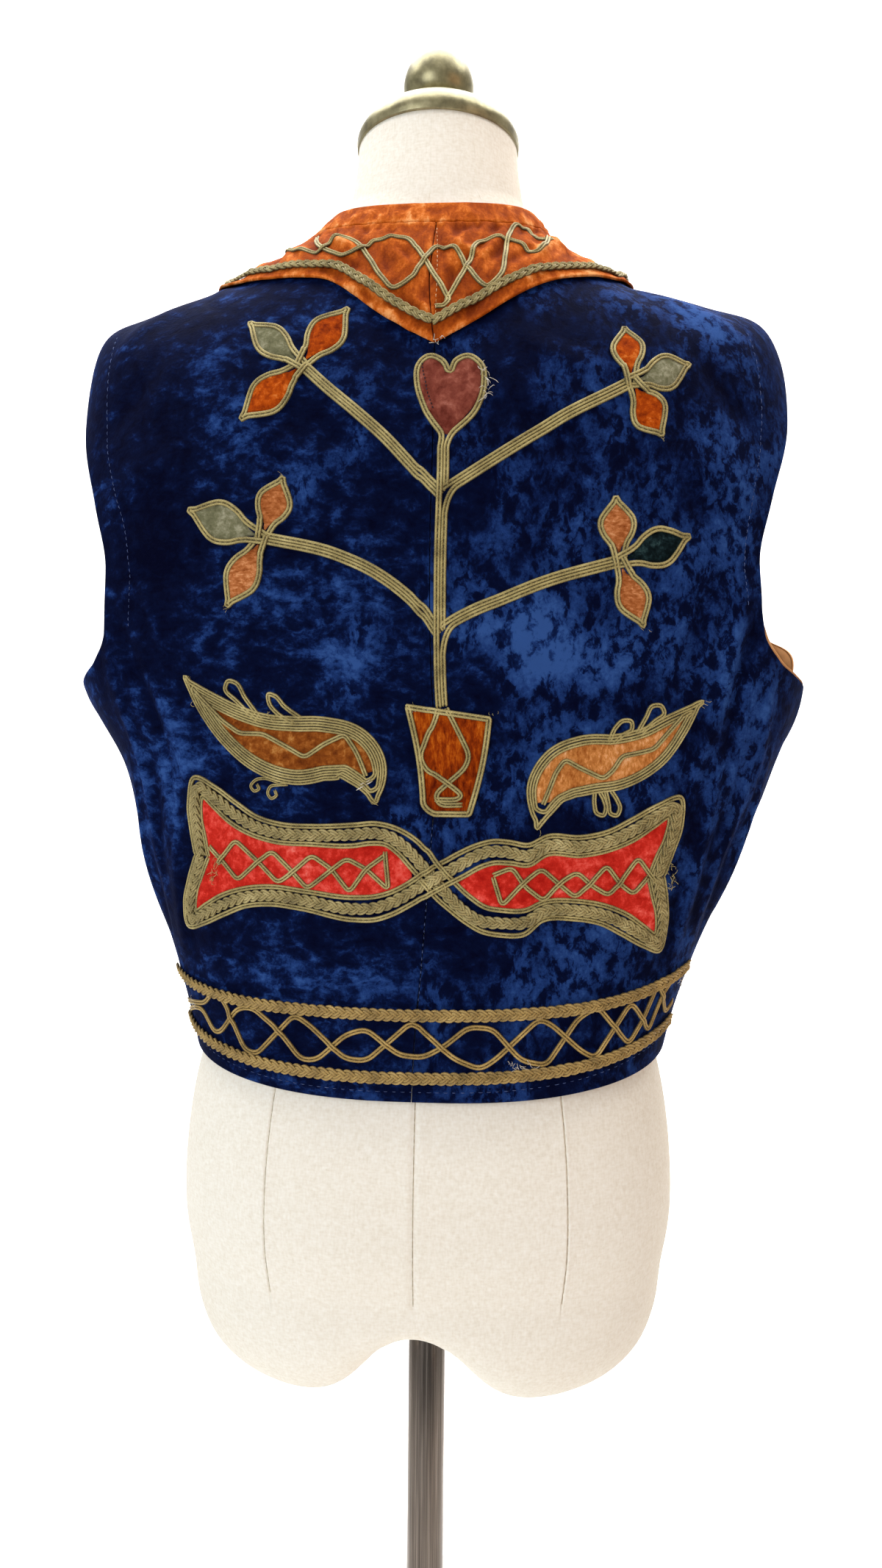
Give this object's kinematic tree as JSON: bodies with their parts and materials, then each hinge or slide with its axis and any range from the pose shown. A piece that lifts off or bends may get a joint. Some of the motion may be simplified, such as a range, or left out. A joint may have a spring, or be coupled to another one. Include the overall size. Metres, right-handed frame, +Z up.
{
  "type": "embroidered folk vest on a dress form",
  "caption": "Sleeveless velvet folk vest with a shaped collar, an appliqued and braided back and a braided hem, worn by a limbless linen dress form on a pole stand.",
  "frame": {"origin": "on the floor, at the middle of the underside of the stand's round base", "axes": "+Z up the pole and out of the neck; -Y faces the way the embroidered back faces; +X to the wearer's right side"},
  "size_m": [0.4772, 0.34, 1.603],
  "materials": {
    "navy_velvet": "crushed cotton velvet, dark with brighter crushed streaks",
    "orange_velvet": "crushed velvet, pale where the pile catches the light",
    "tan_cotton": "plain cotton lining",
    "linen_cover": "woven linen, seamed",
    "bronze_cap": "olive bronze paint, semi-gloss",
    "stand_steel": "dark brushed steel",
    "brown_velvet": "brown cotton velvet",
    "rust_velvet": "rust velvet",
    "coral_velvet": "coral red velvet",
    "tawny_velvet": "tawny velvet",
    "apricot_velvet": "apricot velvet",
    "grey_green_velvet": "worn grey-green velvet",
    "dark_green_velvet": "dark green velvet",
    "leaf_orange_velvet": "orange velvet",
    "salmon_velvet": "salmon velvet",
    "gold_braid": "sewn soutache and plaited cord"
  },
  "bodies": {
    "root": {"armhole_facing_left": "tan_cotton", "armhole_facing_right": "tan_cotton", "bird_left_feet": "gold_braid", "bird_left_patch": "tawny_velvet", "bird_left_rim": "gold_braid", "bird_left_wings": "gold_braid", "bird_left_zigzag": "gold_braid", "bird_right_feet": "gold_braid", "bird_right_patch": "apricot_velvet", "bird_right_rim": "gold_braid", "bird_right_wings": "gold_braid", "bird_right_zigzag": "gold_braid", "branch_lower_left": "gold_braid", "branch_lower_right": "gold_braid", "branch_upper_left": "gold_braid", "branch_upper_right": "gold_braid", "collar_left": "orange_velvet", "collar_plait_left": "gold_braid", "collar_plait_right": "gold_braid", "collar_right": "orange_velvet", "collar_strand_over": "gold_braid", "collar_strand_under": "gold_braid", "crossed_band_over": "gold_braid", "crossed_band_under": "gold_braid", "crossed_patch_left": "coral_velvet", "crossed_patch_right": "coral_velvet", "crossed_strand_left_over": "gold_braid", "crossed_strand_left_under": "gold_braid", "crossed_strand_right_over": "gold_braid", "crossed_strand_right_under": "gold_braid", "form_knob": "bronze_cap", "form_neck_cap": "bronze_cap", "form_torso": "linen_cover", "heart": "brown_velvet", "hem_plait_lower": "gold_braid", "hem_plait_upper": "gold_braid", "hem_strand_over": "gold_braid", "hem_strand_under": "gold_braid", "leaf_lower_left_1": "salmon_velvet", "leaf_lower_left_2": "grey_green_velvet", "leaf_lower_left_3": "salmon_velvet", "leaf_lower_right_1": "salmon_velvet", "leaf_lower_right_2": "dark_green_velvet", "leaf_lower_right_3": "salmon_velvet", "leaf_upper_left_1": "leaf_orange_velvet", "leaf_upper_left_2": "grey_green_velvet", "leaf_upper_left_3": "leaf_orange_velvet", "leaf_upper_right_1": "leaf_orange_velvet", "leaf_upper_right_2": "grey_green_velvet", "leaf_upper_right_3": "leaf_orange_velvet", "neck_band": "orange_velvet", "pot": "rust_velvet", "pot_loop": "gold_braid", "stand_base": "stand_steel", "stand_pole": "stand_steel", "tree_stem": "gold_braid", "vest_back_left": "navy_velvet", "vest_back_right": "navy_velvet", "vest_front_left": "navy_velvet", "vest_front_right": "navy_velvet"}
  },
  "joints": []
}
